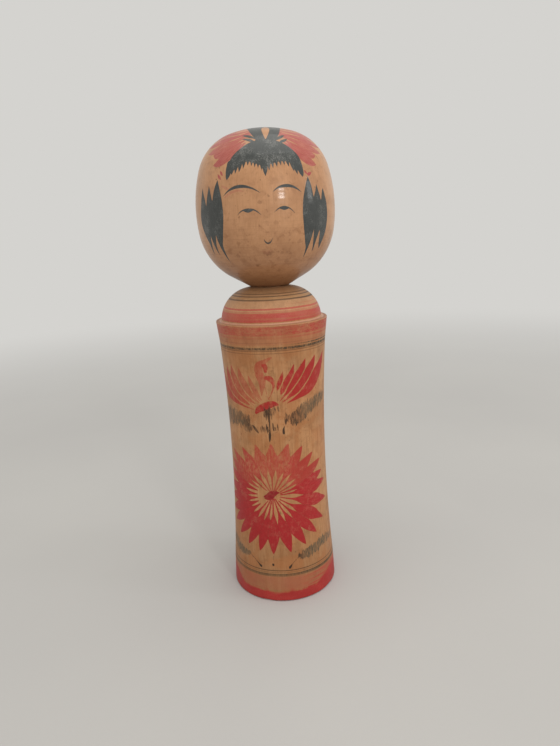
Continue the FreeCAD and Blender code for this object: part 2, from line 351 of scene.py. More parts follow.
    # brown marks left by handling, near the mouth and here and there: x, height, half width, tone
    for x, y, half, tone in (
            (-1.9, 227.6, 0.9, 0.5), (-0.3, 226.4, 0.7, 0.6), (1.2, 227.2, 1, 0.55), (2.8, 228, 0.6, 0.4),
            (6.8, 227.9, 0.5, 0.5), (9.4, 227.2, 0.8, 0.4), (12.6, 227.6, 0.5, 0.45), (15.2, 226.6, 0.7, 0.4),
            (-8.2, 220.6, 0.8, 0.7), (-12.4, 224, 0.6, 0.35), (-20.6, 226.6, 1, 0.45),
            (-18.6, 228.6, 0.5, 0.45), (13.4, 222.4, 1.2, 0.35), (-3, 255, 1, 0.4),
            (5.6, 243.8, 1.1, 0.25), (-14.6, 241, 1.4, 0.2), (20.4, 233, 1.1, 0.25),
            (31, 271, 0.8, 0.35), (-31, 275.4, 0.9, 0.3), (9, 217, 1, 0.4)):
        stroke(stain, face, [(x - half * 0.7, y, half * 0.7), (x, y + half * 0.2, half),
                             (x + half * 0.9, y - half * 0.1, half * 0.5)], tone)
    return {"ink": ink, "red": red, "stain": stain}


def flower(red, where, centre, petals):
    """A chrysanthemum seen from above: each petal is a stroke from its tip in to the centre."""
    angles = sorted(p[0] % 360 for p in petals)
    for angle, reach, inner, tone in petals:
        a = math.radians(angle)
        gaps = [min((angle - b) % 360, (b - angle) % 360) for b in angles if b != angle % 360]
        wide = max(1, sorted(gaps)[1] / 14)
        near = 0.4 + 0.6 * reach / 42
        out = np.array([math.cos(a), math.sin(a)])
        side = np.array([-out[1], out[0]])
        points = []
        for r, half, bow in ((inner, 0.32, 0), (12.5 * near, 0.62, 0.1), (16.5 * near, 1.3 * wide, 0.2),
                             (21 * near, 2.5 * near * wide, 0.1), (26 * near, 3.35 * wide, 0),
                             (0.72 * reach, 3.3 * wide, 0), (0.81 * reach, 2.8, 0),
                             (0.9 * reach, 1.75, 0), (0.96 * reach, 0.85, 0), (reach, 0.06, 0)):
            if r < inner:
                continue
            x, y = np.array(centre) + out * r + side * bow
            points.append((x, y, half))
        stroke(red, where, points, tone)


def body_brushwork(theta, height):
    """The map is girth (mm from the front) against height."""
    n = len(theta)
    red, ink, leaf = Dye(n), Dye(n), Dye(n)
    side = np.stack([theta * BODY_R, height], 1)
    side[(height < 1) | (height > 172)] = OFF_MAP

    # lower flower: each petal's direction in degrees, and its reach in mm
    heads = [
        (142, 43.2), (125.5, 37.6), (107, 35.8), (89, 35.2), (71, 36.8), (55.5, 38.3), (40, 39.5), (26, 42.4),
        (14, 40.8), (3, 43.2), (-14.5, 45.2), (-32, 44.4), (-46.5, 43.2), (-61, 42.2), (-76, 41.6), (-92, 41.4),
        (-105, 41.3), (-118, 42.4), (-131.5, 43.8), (-144.5, 44.6), (-156, 45), (-168, 44.6), (180, 44.8),
        (166, 44.2), (153.5, 44)]
    petals = []
    for angle, reach in heads:
        left = abs(abs(angle) - 178) < 34
        top = 60 < angle < 120
        inner = 11 if left else 2.6 if 50 < abs(angle) < 128 else 5.2
        petals.append((angle, reach, inner, 0.74 if top else 0.86 if 25 < angle < 160 else 1))
    flower(red, side, (-5.5, 75), petals)
    red.part(0.1)
    strokes(red, side,
        (1.5, (-11.8, 73.8, 0.3), (-9.2, 74.4, 1.4), (-6.2, 75.7, 2.3), (-3.6, 76.6, 1.4), (-1, 76.9, 0.2)),
        (1.4, (-11, 72.6, 0.4), (-8, 72.4, 0.9), (-4.8, 73.6, 0.3)))
    red.part(0)

    # upper flower, seen from the side: strong petals to the right, worn ones to the left
    right = [
        [(39.2, 164.8, 0.1), (35.4, 158, 2.7), (29.6, 151, 4.5), (22.6, 144.6, 4.1), (14.5, 139.6, 1.5),
         (7, 136.4, 0.25)],
        [(28.5, 164.2, 0.1), (25.2, 158, 2.5), (20.2, 151.4, 3.6), (14.4, 145.6, 3.3), (8.8, 140.6, 1),
         (4, 137, 0.2)],
        [(20.2, 163.4, 0.1), (17.4, 157, 2.2), (13.4, 151, 3.1), (9.4, 146.4, 2.7), (6.6, 142.6, 0.9),
         (2.4, 138, 0.2)],
        [(12.1, 161, 0.1), (10.2, 155, 1.6), (7.4, 149.6, 2.5), (5, 145.6, 1.9), (3.2, 142.2, 0.3)],
        [(5, 157, 0.1), (3.9, 152.6, 1.2), (2.4, 148.6, 1.5), (1, 144.8, 0.15)]]
    for path in right:
        stroke(red, side, path, 1.15, 0.1)
    worn = [
        [(-45.5, 157.5, 0.1), (-44.4, 151, 2.6), (-41, 144, 3.8), (-34, 138.6, 2.6), (-24, 134.8, 0.8),
         (-15, 132.6, 0.15)],
        [(-36.4, 158.4, 0.1), (-35.6, 152, 2.5), (-32.4, 145.4, 3.5), (-26.4, 140, 2.3), (-18, 135.6, 0.5)],
        [(-30.8, 160.4, 0.1), (-29.6, 153.4, 2.4), (-26, 146.6, 3.3), (-20.4, 141.2, 1.9), (-13.6, 136.4, 0.25)],
        [(-24, 159.2, 0.1), (-22.6, 152.6, 2.1), (-19.4, 146.4, 2.8), (-15.4, 141.4, 1.4), (-10.8, 137.2, 0.25)],
        [(-17, 155, 0.1), (-15.4, 149.6, 1.4), (-12.8, 144.4, 1.7), (-9, 138.8, 0.25)]]
    for path, tone in zip(worn, (1, 0.86, 0.72, 0.6, 0.55)):
        stroke(red, side, path, tone, 0.15)
    red.part(0.8)
    strokes(red, side,
        (0.6, (-1.6, 166, 0.5), (-5.4, 163.6, 1.4), (-9.4, 161, 2.2), (-9.4, 156, 2.7),
         (-8, 151, 2.4), (-8.4, 146, 1.2), (-8.8, 141.6, 0.2)),
        (0.9, (-10.4, 161.6, 0.5), (-8.2, 162.2, 1.3), (-5.6, 160.6, 1.5), (-5.4, 157.4, 1)),
        (0.9, (-7.6, 152, 0.4), (-5.2, 153.2, 1.3), (-2.8, 152.4, 1.7), (-1.2, 149.6, 1),
         (-1.6, 145.4, 0.45), (-4.8, 138.8, 0.2)),
        (0.6, (-14.6, 143, 0.3), (-9.6, 138, 0.15)),
        (0.6, (-6.4, 147.5, 0.3), (-4.9, 140, 0.15)),
        (0.6, (9.4, 141.6, 0.3), (3.8, 137.2, 0.15)),
        (0.6, (-20.5, 139.6, 0.3), (-14.5, 135, 0.15)),
        (1.1, (-13.4, 130.6, 0.9), (-11.4, 132.8, 1.9), (-8.2, 134.4, 2.4), (-4.4, 135.9, 2.3),
         (-1.2, 136.4, 1.6), (1.4, 135.6, 0.3)))

    # ink: hatching under the flower (x, top, bottom, half width, tone)
    for x, y0, y1, half, tone in (
            (-8.4, 132, 127.4, 0.6, 0.6), (-7, 132.6, 125.6, 0.7, 0.75), (-5.8, 133, 124.6, 0.6, 0.7),
            (-3.6, 133.2, 126, 0.55, 0.6), (-2.2, 133.4, 128.4, 0.6, 0.55), (-0.9, 133.2, 130.2, 0.5, 0.45),
            (-9.9, 122.2, 118, 0.5, 0.5), (-8.6, 121.6, 117.2, 0.5, 0.5), (-7, 123.2, 117, 0.55, 0.8),
            (-6.2, 121.2, 117.4, 0.4, 0.5), (-2.8, 123.8, 117.8, 0.55, 0.75), (-1.4, 121.4, 118.4, 0.4, 0.5),
            (0.1, 123.2, 118.4, 0.5, 0.6), (5.2, 127, 122, 0.8, 0.6), (6.8, 128.6, 123.6, 0.7, 0.55),
            (8.2, 128.8, 125, 0.5, 0.45), (-7.8, 134.4, 130, 0.5, 0.5), (-4.6, 135.4, 129, 0.5, 0.55),
            (-1.6, 135.4, 131.8, 0.7, 0.6), (1, 134.6, 131, 0.6, 0.5), (-11, 121.6, 117.6, 0.5, 0.4),
            (-23.6, 127.4, 120.6, 0.5, 0.42), (-22.4, 126, 118.8, 0.55, 0.5), (-21, 125.4, 118, 0.6, 0.5),
            (-19.8, 123, 117.2, 0.6, 0.55), (-18.4, 122.6, 117.6, 0.6, 0.6), (-17.4, 121.8, 118.4, 0.5, 0.6),
            (5.8, 130, 124.4, 0.6, 0.6)):
        stroke(ink, side, [(x, y0, half * 0.6), (x + 0.2, (y0 + y1) / 2, half), (x + 0.35, y1, 0.15)], tone)

    # the upper flower's stem and its two side shoots, then the thin stems at the foot with their drops
    strokes(ink, side,
        (1, (-4.7, 134, 0.35), (-4.9, 126, 0.45), (-5, 119, 0.4), (-5.2, 115.4, 0.85),
         (-5.5, 111.6, 0.3)),
        (1.05, (4.7, 121.6, 0.2), (3.9, 119.4, 0.6), (3.9, 117, 0.75), (4.3, 116.2, 0.2)),
        (0.8, (-16.4, 121.8, 0.5), (-14.6, 119.4, 0.9), (-12.8, 117.2, 0.35)),
        (0.62, (-24.4, 31.4, 0.2), (-20.6, 28.6, 0.24), (-17.8, 26.3, 0.3)),
        (1.1, (-18.2, 26.6, 0.2), (-16.8, 25.2, 0.5), (-15.8, 24.3, 0.8), (-15.4, 23.9, 0.4)),
        (0.4, (-7, 32.4, 0.3), (-7.2, 29.4, 0.15)),
        (1.1, (-7.5, 26.5, 0.7), (-7.4, 25.9, 0.65)),
        (0.62, (9.4, 30.9, 0.2), (6.4, 28, 0.26), (4.6, 26.2, 0.3)),
        (1.1, (4.9, 26.5, 0.2), (3.9, 25.2, 0.55), (3.2, 24.1, 0.8), (2.9, 23.3, 0.3)),
        (0.45, (9.6, 33.4, 0.5), (10.4, 31.4, 0.9), (9.6, 30.4, 0.3)))

    # leaves: rows of short upright dabs along a rib
    def dabs(count, lean, tone, *rib):
        line = curve(rib, 14)
        for number in range(count):
            k = (number + 0.5) / count * (len(line) - 1)
            x, y, half = [np.interp(k, np.arange(len(line)), line[:, c]) for c in range(3)]
            x, y = x + RNG.normal(0, 0.35), y + RNG.normal(0, 0.5)
            half *= RNG.uniform(0.8, 1.12)
            wide = RNG.uniform(0.5, 0.95)
            drift = half * lean
            stroke(leaf, side, [(x + drift, y + half, 0.15), (x + drift * 0.4, y + half * 0.35, wide),
                                (x - drift * 0.5, y - half * 0.5, wide * 0.9), (x - drift, y - half, 0.15)],
                   tone * RNG.uniform(0.7, 1.1))

    dabs(38, 0.12, 0.9, (-47, 124, 6.6), (-40, 124.6, 6.4), (-32, 125, 5.6), (-25, 125.2, 4.8),
         (-18.6, 124.2, 4.4))
    dabs(8, -0.1, 0.6, (-28, 121.4, 2.6), (-22.6, 119.8, 2.6), (-18.6, 119.2, 2))
    dabs(44, 0.3, 1.05, (9.6, 126.6, 3.6), (13.8, 127.4, 6.4), (18.4, 129.4, 6.3), (24.4, 132, 5.4),
         (32, 134, 4.4), (41, 134.6, 3.2))
    dabs(28, 0.3, 1, (-45, 35.4, 3.4), (-39.4, 33.6, 3.6), (-33.6, 31.2, 3.2), (-28, 30.4, 2.4),
         (-24.2, 31.2, 1.4))
    dabs(38, 0.35, 1.05, (9.8, 30.6, 1.4), (13.6, 31.6, 3), (18.4, 32.4, 4.2), (24.6, 34.2, 4.2),
         (31.6, 35, 3.6), (42.5, 34.6, 2.6))
    return {"red": red, "ink": ink, "leaf": leaf}


# ---------------------------------------------------------------- lathe meshes

def sunk(theta, z, shell, knocks):
    """How far each vertex is sunk, in mm: turning waves, a slight twist, and knocks."""
    depth = 0.012 * (1 + np.sin(z * 2.1 + 0.4 * np.sin(z * 0.37)))
    depth += 0.02 * (1 + np.sin(theta * 2 + z * 0.021)) * 0.5
    for at, size, deep in knocks:
        gap = np.hypot((shell[:, 0] - at[0]) / size[0], (shell[:, 1] - at[1]) / size[1])
        depth += deep * np.exp(-gap**2 * 1.4)
    return depth


def grid_faces(n_row, n_col):
    """Quads round the rows, and triangles to a first and a last point on the axis."""
    i, j = np.meshgrid(np.arange(n_row - 1), np.arange(n_col), indexing="ij")
    here, beside = i * n_col + j, i * n_col + (j + 1) % n_col
    quads = np.stack([here, beside, beside + n_col, here + n_col], -1).reshape(-1, 4)
    faces = [tuple(q) for q in quads.tolist()]
    first, ring = n_row * n_col, (n_row - 1) * n_col
    for k in range(n_col):
        faces.append((first, (k + 1) % n_col, k))
        faces.append((first + 1, ring + k, ring + (k + 1) % n_col))
    return faces


def build(name, parts, spacing, angles, knocks, girth_r, paint, hidden):
    """A closed piece turned from an outline, painted: paint gets one entry per vertex. Where hidden(rz) is
    true the surface keeps the outline exactly."""
    rows, travel = rows_of(parts, spacing)
    off_axis = rows[:, 0] >= 1e-6
    inner = rows[off_axis]
    n_row, n_col = len(inner), len(angles)
    theta = np.tile(angles, n_row)
    rz = np.repeat(inner, n_col, axis=0)
    along = np.repeat(travel[off_axis], n_col)
    depth = sunk(theta, rz[:, 1], np.stack([theta * girth_r, rz[:, 1]], 1), knocks)
    depth[hidden(rz)] = 0
    tangent = np.gradient(inner, axis=0)
    tangent /= np.maximum(np.hypot(*tangent.T), 1e-9)[:, None]
    normal = np.repeat(np.stack([-tangent[:, 1], tangent[:, 0]], 1), n_col, axis=0)
    # the outward normal, whichever way the outline runs
    outward = np.sign((normal[:, 0] * (rz[:, 0] - 8)).sum())
    at = rz - normal * outward * depth[:, None]
    top, end = rows[0, 1], rows[-1, 1]
    verts = np.stack([at[:, 0] * np.sin(theta), -at[:, 0] * np.cos(theta), at[:, 1]], 1)
    verts = np.vstack([verts, [0, 0, top], [0, 0, end]]) * MM
    mesh = bpy.data.meshes.new(name)
    mesh.from_pydata(verts.tolist(), [], grid_faces(n_row, n_col))
    bm = bmesh.new()
    bm.from_mesh(mesh)
    bmesh.ops.recalc_face_normals(bm, faces=bm.faces)
    bm.to_mesh(mesh)
    bm.free()
    mesh.polygons.foreach_set("use_smooth", np.ones(len(mesh.polygons), bool))
    mesh.set_sharp_from_angle(angle=CREASE)
    theta = np.append(theta, [0, 0])
    height = np.append(rz[:, 1], [top, end])
    radius = np.append(rz[:, 0], [0, 0])
    along = np.append(along, [0, along.max()])
    for dye_name, dye in paint(theta, height, along, radius).items():
        for field, kind, key in (("edge", "FLOAT", "value"), ("tone", "FLOAT", "value"),
                                 ("flow", "FLOAT_VECTOR", "vector")):
            item = mesh.attributes.new(f"{dye_name}_{field}", kind, "POINT")
            item.data.foreach_set(key, np.ascontiguousarray(getattr(dye, field), np.float32).ravel())
    piece = bpy.data.objects.new(name, mesh)
    bpy.context.scene.collection.objects.link(piece)
    return piece


# ---------------------------------------------------------------- node arithmetic

class Nodes:
    """Writes a material's nodes as sums: values and vectors are sockets or plain numbers."""

    def __init__(self, name):
        self.material = bpy.data.materials.new(name)
        self.material.use_nodes = True
        self.tree = self.material.node_tree
        self.tree.nodes.clear()

    def new(self, kind, inputs, **settings):
        """A node with its inputs, by name or number, fed from other nodes or set to numbers."""
        node = self.tree.nodes.new(kind)
        for key, value in settings.items():
            setattr(node, key, value)
        for key, value in inputs.items():
            self.feed(node.inputs[key], value)
        return node

    def feed(self, socket, value):
        if isinstance(value, Val):
            self.tree.links.new(value.socket, socket)
        else:
            socket.default_value = value

    def out(self, kind, inputs, output=0, **settings):
        return Val(self, self.new(kind, inputs, **settings).outputs[output])

    def math(self, operation, *inputs, clamp=False):
        return self.out("ShaderNodeMath", dict(enumerate(inputs)), operation=operation, use_clamp=clamp)

    def held(self, a, b):
        """The product, held between 0 and 1."""
        return self.math("MULTIPLY", a, b, clamp=True)

    def most(self, first, *others):
        for other in others:
            first = self.math("MAXIMUM", first, other)
        return first

    def smooth(self, value, low, high):
        """0 below low, 1 above high, an S between."""
        return self.out("ShaderNodeMapRange", {"Value": value, "From Min": low, "From Max": high},
                        interpolation_type="SMOOTHSTEP")

    def span(self, value, low, high, to_low, to_high):
        """Runs straight from to_low to to_high while value goes from low to high, and stays there."""
        return self.out("ShaderNodeMapRange", {"Value": value, "From Min": low, "From Max": high,
                                               "To Min": to_low, "To Max": to_high}, clamp=True)

    def band(self, value, low, high, soft):
        """1 between low and high, soft edges that wide."""
        return self.smooth(value, low - soft, low + soft) * (1 - self.smooth(value, high - soft, high + soft))

    def mix(self, share, a, b):
        a, b = [(*c, 1) if isinstance(c, tuple) else c for c in (a, b)]
        return self.out("ShaderNodeMix", {0: share, 6: a, 7: b}, 2, data_type="RGBA")

    def layers(self, color, *rows):
        """Lays colours over the first one in turn: rows of (share, colour)."""
        for share, over in rows:
            color = self.mix(share, color, over)
        return color

    def pack(self, x, y, z):
        return self.out("ShaderNodeCombineXYZ", {0: x, 1: y, 2: z})

    def noise(self, where, scale, detail=2, rough=0.5, warp=0):
        return self.out("ShaderNodeTexNoise", {"Vector": where, "Scale": scale, "Detail": detail,
                                               "Roughness": rough, "Distortion": warp})

    def stretched(self, across, up, *settings):
        """Noise on object coordinates, x and y times across and z times up."""
        x, y, z = self.axes
        return self.noise(self.pack(x * across, y * across, z * up), *settings)

    def cells(self, where, scale):
        return self.out("ShaderNodeTexVoronoi", {"Vector": where, "Scale": scale})

    def attribute(self, name, output="Fac"):
        return self.out("ShaderNodeAttribute", {}, output, attribute_name=name)

    def bump(self, height, distance, strength, **below):
        return self.out("ShaderNodeBump", {"Height": height, "Distance": distance, "Strength": strength, **below})

    def place(self):
        """Object coordinates in millimetres, as x, y, z and the vector."""
        coords = self.out("ShaderNodeTexCoord", {}, "Object")
        spot = self.out("ShaderNodeVectorMath", {0: coords, "Scale": 1 / MM}, operation="SCALE")
        self.axes = [Val(self, socket) for socket in self.new("ShaderNodeSeparateXYZ", {0: spot}).outputs]
        return (*self.axes, spot)

    def surface(self, color, rough, normal, **constants):
        inputs = {key.replace("_", " "): value for key, value in constants.items()}
        shader = self.out("ShaderNodeBsdfPrincipled",
                          {"Base Color": color, "Roughness": rough, "Normal": normal, **inputs})
        self.new("ShaderNodeOutputMaterial", {0: shader})
        return self.material


class Val:
    """A node's output that can be added, multiplied and so on."""

    def __init__(self, nodes, socket):
        self.nodes, self.socket = nodes, socket

    def __add__(self, other):
        return self.nodes.math("ADD", self, other)

    def __sub__(self, other):
        return self.nodes.math("SUBTRACT", self, other)

    def __rsub__(self, other):
        return self.nodes.math("SUBTRACT", other, self)

    def __mul__(self, other):
        return self.nodes.math("MULTIPLY", self, other)

    __radd__ = __add__
    __rmul__ = __mul__


# ---------------------------------------------------------------- painted wood

GRIME_AND_SHADE = (0.075, 0.032, 0.014)
RED = (0.42, 0.012, 0.016)
ROSE = (0.5, 0.085, 0.07)
DEEP_RED = (0.23, 0.006, 0.012)
INK = (0.035, 0.038, 0.035)
BLACK = (0.018, 0.014, 0.01)
LEAF = (0.092, 0.076, 0.046)
SEPIA = (0.06, 0.028, 0.014)
LINE = (0.042, 0.034, 0.02)
OCHRE = (0.4, 0.22, 0.06)
PAINTED_SIDE_SHEEN = (0.65, 0.4, 0.235)
PALE_DOME = (0.62, 0.37, 0.215)
KHAKI_COLLAR = (0.35, 0.225, 0.125)
HEAD_TONES = ((0.575, 0.298, 0.146), (0.465, 0.222, 0.095), (0.25, 0.104, 0.042))
BODY_TONES = ((0.58, 0.308, 0.142), (0.45, 0.2, 0.078), (0.205, 0.084, 0.029))


def wood(n, spot, pith, shade_and_patina, tones, fibrous):
    """Close-grained hardwood gone amber: colour, how proud the surface is, and roughness."""
    pale, amber, brown = tones
    x, y, z = n.axes
    flat = n.pack(x, y, z * 0.035)
    dx, dy = x - pith[0], y - pith[1]
    away = n.math("SQRT", dx * dx + dy * dy) + n.stretched(0.02, 0.012, 1, 2) * 9
    rings = n.span(n.math("SINE", away * 2.1), -1, 1, 0.18, 0.18 + 0.3 * fibrous)
    fibre = n.noise(flat, 1.5, 4, 0.6)
    coarse = n.noise(flat, 0.42, 3, 0.55)
    ray = n.smooth(n.stretched(1, 0.14, 1.3, 1), 0.62, 0.74)
    # patina: broad clouds, soft brown spots with darker middles, a few pin marks and fine scratches
    cloud = n.noise(spot, 0.045, 3, 0.6, 0.4)
    blot = n.noise(spot, 0.16, 4, 0.65, 0.3)
    freckle = n.noise(spot, 0.36, 3, 0.6)
    pin = 1 - n.smooth(n.cells(spot, 0.11), 0.03, 0.07)
    scratch = n.smooth(n.stretched(0.1, 1.3, 1, 3, 0.55, 1.5), 0.66, 0.7) * n.smooth(blot, 0.46, 0.6)
    # the last layer browns the wood: painted shade under the head's chin, low on the body and under the head, and
    # a darker band below the body's rim
    color = n.layers(n.mix(rings, pale, amber),
                     (n.smooth(coarse, 0.38, 0.68) * (0.7 * fibrous), amber),
                     (n.smooth(fibre, 0.45, 0.72) * (0.42 * fibrous), brown),
                     (ray * (0.18 * fibrous), brown),
                     (n.smooth(cloud, 0.42, 0.68) * 0.34, brown),
                     (n.smooth(blot, 0.48, 0.7) * 0.34, brown),
                     (n.smooth(freckle, 0.6, 0.72) * 0.34, brown),
                     (n.smooth(freckle, 0.69, 0.76) * 0.45, GRIME_AND_SHADE),
                     (pin * 0.55, GRIME_AND_SHADE), (scratch * 0.3, brown), (shade_and_patina, brown))
    turned = n.noise(n.pack(0, 0, z), 2.6, 2)
    height = fibre * (0.6 * fibrous) + turned * 0.3 + blot * 0.4 + n.noise(spot, 1.1, 2) * 0.5 - scratch * 0.4
    rough = n.span(cloud, 0.3, 0.7, 0.36, 0.48) + fibre * 0.08 + (turned - 0.5) * 0.06
    return color, height, rough


def relief(n, spot, height, depth, strength):
    """The wood's fine relief, depth in metres, over a broad unevenness."""
    fine = n.bump(height, depth, strength)
    return n.bump(n.noise(spot, 0.07, 2), 0.0012, 0.12, Normal=fine)


def dyed(n, layer, edge_noise, bite, worn):
    """How strongly a layer of dye shows, by its strokes' edges, brush streaks and wear; how thick it lies;
    and the streaks themselves."""
    edge = n.attribute(f"{layer}_edge")
    tone = n.attribute(f"{layer}_tone")
    streak = n.noise(n.attribute(f"{layer}_flow", "Vector"), 1.9, 3, 0.6)
    inside = n.smooth(edge + (edge_noise - 0.5) * bite, -0.12, 0.12)
    cover = n.math("MINIMUM", tone, 1) * n.span(streak, 0.25, 0.55, 0.93, 1) * (1 - worn)
    pool = ((1 - n.smooth(edge, 0.1, 0.5)) * 0.25 + n.span(streak, 0.35, 0.7, 0.4, 0)
            + n.span(tone, 1, 1.5, 0, 0.8))
    return n.held(inside, cover), pool, streak


def head_material():
    n = Nodes("head_painted_wood")
    x, _, z, spot = n.place()
    # painted shade: the lower face and the chin are browned, and the neck under them most, where little light
    # reaches
    neck_shade = n.smooth(222 - z, 0, 14)
    shade_and_patina = n.smooth(246 - z, 0, 38) * 0.5 + neck_shade * 0.12
    color, height, rough = wood(n, spot, (19, 34), shade_and_patina, HEAD_TONES, 0.45)
    speck = n.noise(spot, 1.6, 4, 0.7)
    patch = n.noise(spot, 0.13, 2, 0.6)
    # painted sheen: the head's flanks are paled, as if light from the room glanced off them
    side_sheen = n.smooth(n.math("ABSOLUTE", x), 31, 43) * n.smooth(z, 222, 240)
    handled = n.smooth(n.noise(spot, 0.2, 3, 0.6, 0.3), 0.54, 0.68) * n.smooth(254 - z, 0, 18)
    tooled = n.smooth(n.stretched(0.03, 1.1, 1, 3, 0.6), 0.5, 0.72) * n.smooth(256 - z, 0, 20)
    stain = dyed(n, "stain", speck, 2.2, 0)[0]
    color = n.layers(color, (side_sheen * 0.4, PAINTED_SIDE_SHEEN), (handled * 0.42, (0.24, 0.092, 0.032)),
                     (stain * 0.8, (0.17, 0.062, 0.022)), (tooled * 0.22, (0.2, 0.08, 0.03)))

    # ribbon
    worn_red = n.smooth(patch, 0.4, 0.75) * 0.15 + n.smooth(speck, 0.55, 0.75) * 0.1
    cover, pool, streak = dyed(n, "red", speck, 0.45, worn_red)
    tint = n.mix(n.span(streak, 0.4, 0.62, 0, 1), (0.37, 0.042, 0.05), (0.46, 0.112, 0.1))
    tint = n.mix(pool * 0.55, tint, (0.32, 0.016, 0.03))
    color = n.mix(cover * 0.96, color, tint)

    # hair and face: pale specks on the ink, scuffs in the fringe and painted glints of light on the locks, a
    # little grey on the crown
    crown = n.smooth(z, 268, 284)
    pale_specks = n.smooth(n.noise(spot, 1.8, 5, 0.78, 0.1) * 0.62 + n.noise(spot, 0.16, 2, 0.6) * 0.38, 0.5, 0.62)
    # the band over the locks paints glints of the window's light as pale specks; the rest is scuffing
    scuffs_and_glints = n.band(z, 273, 289, 4) * 0.24 + n.band(z, 230, 258, 8) * 0.1 + 0.1
    cover, _, streak = dyed(n, "ink", speck, 0.2, 0)
    ink = n.mix(n.span(streak, 0.3, 0.7, 0, 1), INK, (0.057, 0.061, 0.057))
    ink = n.layers(ink, (pale_specks * scuffs_and_glints, (0.42, 0.41, 0.38)), (crown * 0.04, (0.2, 0.23, 0.22)))
    # painted shade under the chin, in the grime colour
    color = n.layers(color, (n.held(cover, 1.1), ink), (neck_shade * 0.18, GRIME_AND_SHADE))
    return n.surface(color, rough + cover * 0.04, relief(n, spot, height, 0.00012, 0.35),
                     IOR=1.38, Coat_Weight=0.32, Coat_Roughness=0.13)


def body_material():
    n = Nodes("body_painted_wood")
    x, y, z, spot = n.place()
    out = n.math("SQRT", x * x + y * y)
    # painted shade: the body darkens towards the bottom, as if the floor threw no light up
    low = n.smooth(80 - z, 0, 80)
    # the dome's top under the head, darkened there as painted shade
    collar = n.smooth(z, 198, 207)
    right, left = n.smooth(x, 2, 30), n.smooth(-10 - x, 0, 20)
    # the wood is browned by the painted shade low down and under the head, and in a darker band below the rim
    shade_and_patina = low * 0.52 + collar * 0.12 + n.band(z, 160, 186, 8) * 0.12
    color, height, rough = wood(n, spot, (-14, 24), shade_and_patina, BODY_TONES, 0.85)
    warm = n.smooth(n.noise(spot, 0.055, 3, 0.6, 0.5), 0.46, 0.62)
    pepper = n.smooth(n.stretched(1, 0.45, 1.5, 2, 0.6), 0.66, 0.72)
    pepper = pepper * (0.25 + n.band(z, 100, 136, 14) * 0.4)
    speck = n.noise(spot, 1.6, 4, 0.7)
    patch = n.noise(spot, 0.07, 3, 0.6)
    lathe_lines = n.stretched(0.05, 1.6, 1, 3, 0.6)

    # bands put on while the lathe turns, rubbed through at the rim
    wob = z + (n.noise(spot, 0.05, 1) - 0.5) * 0.5
    wash = (n.band(wob, 8, 17.6, 0.8) * n.span(patch, 0.35, 0.6, 0.22, 0.55)
            + n.band(wob, 173.4, 184.6, 0.8) * 0.32 + n.band(wob, 186.9, 193, 0.4) * 0.4)
    # the khaki layer at the collar is painted shade under the head
    color = n.layers(color, (warm * 0.42, (0.4, 0.14, 0.042)), (pepper, SEPIA),
                     (n.band(z, 192, 203, 2.5) * 0.34, PALE_DOME), (collar * 0.5, KHAKI_COLLAR),
                     (wash, (0.4, 0.105, 0.06)))
    scrape = n.smooth(n.stretched(0.25, 0.9, 1.3, 5, 0.75), 0.44, 0.6)
    rubbed = n.smooth(n.stretched(1, 0.4, 0.9, 5, 0.75), 0.46, 0.62)
    rim = n.band(wob, 179.2, 185, 0.4) * (0.74 + left * 0.16 + right * 0.3) * (1 - scrape * 0.66)
    rim = rim * n.span(lathe_lines, 0.4, 0.56, 0.7, 1) * (1 - rubbed * 0.4)
    thin = n.band(wob, 177.3, 178.4, 0.3) * (0.18 + right * 0.45 + left * 0.2) * (1 - scrape * 0.6)
    dome = n.band(wob, 187, 192.2, 0.3) * n.span(lathe_lines, 0.3, 0.6, 0.5, 0.88)
    dome = dome * (1 - n.band(wob, 188.5, 189.2, 0.3) * 0.35)
    dome_thin = (n.band(wob, 194, 195, 0.2) * 0.8
                 + (n.band(wob, 193, 193.4, 0.15) + n.band(wob, 196.6, 197, 0.15) * right) * 0.4)

    # the red foot's edge wanders and climbs at the flanks, with brush streaks above it on the right
    flanks = n.smooth(x, 20, 33) * 5 + n.smooth(0 - x, 27, 34) * 7
    base_edge = 7 + (n.stretched(0.22, 0, 1, 2) - 0.5) * 4.5 + right * 1.6 + (lathe_lines - 0.5) * 5
    base = 1 - n.smooth(z - (base_edge + flanks), -1.4, 1.6)
    streaks = n.smooth(n.stretched(0.06, 1.3, 1, 3, 0.6), 0.46, 0.58) * n.band(z, 8, 16.6, 1.2)
    streaks = streaks * n.smooth(x, 6, 24) * 0.8
    bands = n.most(rim, thin, dome, dome_thin) * (1 - n.smooth(speck, 0.56, 0.72) * 0.35)
    bands = n.most(bands, base * 0.97, streaks)
    rosy = (n.smooth(speck, 0.35, 0.65) * 0.5 + n.smooth(z, 184, 188) * 0.35
            + n.smooth(z, 174, 176) * left * 0.2)
    dull = n.band(z, 174, 185.6, 0.5) * n.smooth(n.noise(spot, 0.22, 4, 0.7), 0.46, 0.6) * 0.28
    tint = n.layers(RED, (rosy, ROSE), (dull, (0.21, 0.03, 0.02)),
                    (base * n.span(patch, 0.4, 0.65, 0.2, 0.9), (0.33, 0.012, 0.016)))
    color = n.mix(n.held(bands, 0.95), color, tint)

    # flowers: worn and frosted in patches, dry on the left
    fade = n.smooth(n.noise(spot, 0.1, 3, 0.6), 0.42, 0.66)
    upper_left = n.smooth(z, 76, 98) * (1 - n.smooth(x, 0, 16)) * (1 - n.smooth(z, 112, 116))
    dry = n.smooth(z, 128, 136) * (1 - n.smooth(x, 4, 8)) * rubbed * 0.42
    frost = n.smooth(n.noise(spot, 0.3, 5, 0.72, 0.3), 0.48, 0.62)
    worn_red = fade * frost * 0.16 + upper_left * 0.52 * rubbed + dry + n.smooth(speck, 0.58, 0.72) * 0.16
    cover, pool, streak = dyed(n, "red", speck, 0.6, worn_red)
    rosy = n.span(streak, 0.42, 0.66, 0, 0.5) + frost * 0.6
